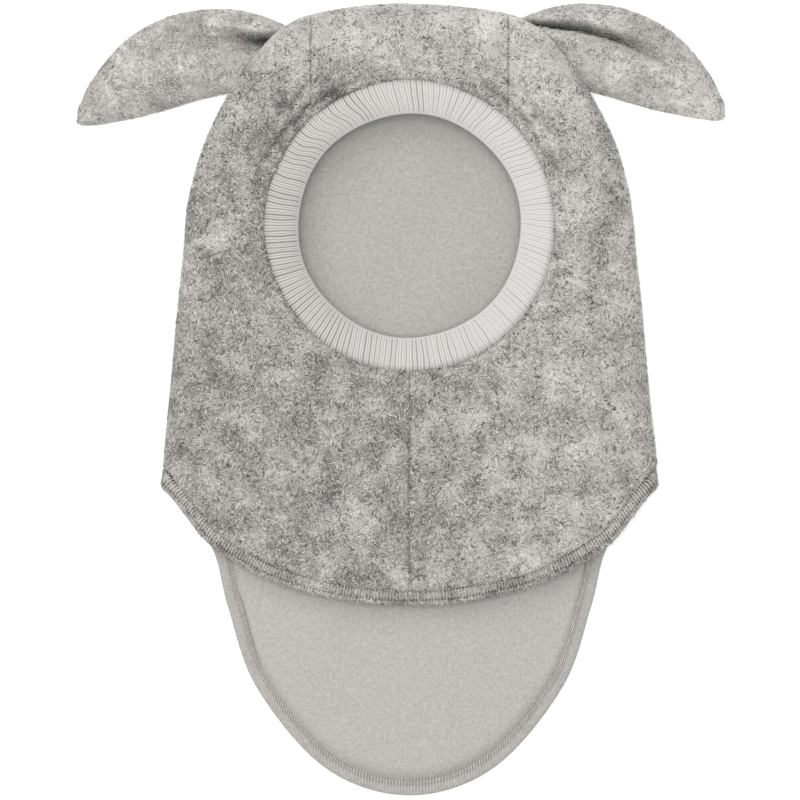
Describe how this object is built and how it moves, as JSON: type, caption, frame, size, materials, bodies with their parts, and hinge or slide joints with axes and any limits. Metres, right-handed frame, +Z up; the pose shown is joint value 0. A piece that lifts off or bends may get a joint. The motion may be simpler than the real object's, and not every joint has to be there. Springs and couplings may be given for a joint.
{
  "type": "baby hood with lop ears",
  "caption": "soft fleece baby hood with a ribbed face band, two lop ears, a jersey lining and rounded front and back bibs, laid flat",
  "frame": {"origin": "on the resting surface, under the middle of the face opening, on the mirror plane", "axes": "+X to the right as seen from above with the crown up, +Y towards the crown, +Z up out of the face opening, away from the surface that the back rests on"},
  "size_m": [0.3054, 0.3714, 0.0268],
  "materials": {
    "fleece": "brushed melange wool fleece, grey",
    "jersey": "fine smooth cotton jersey, light grey",
    "rib_knit": "one by one rib knit, light grey"
  },
  "bodies": {
    "root": {"crown_panel": "fleece", "side_panel_left": "fleece", "side_panel_right": "fleece", "lining": "jersey", "face_band": "rib_knit", "ear_left": "fleece", "ear_right": "fleece", "hem_front": "fleece", "hem_back": "jersey"}
  },
  "joints": []
}
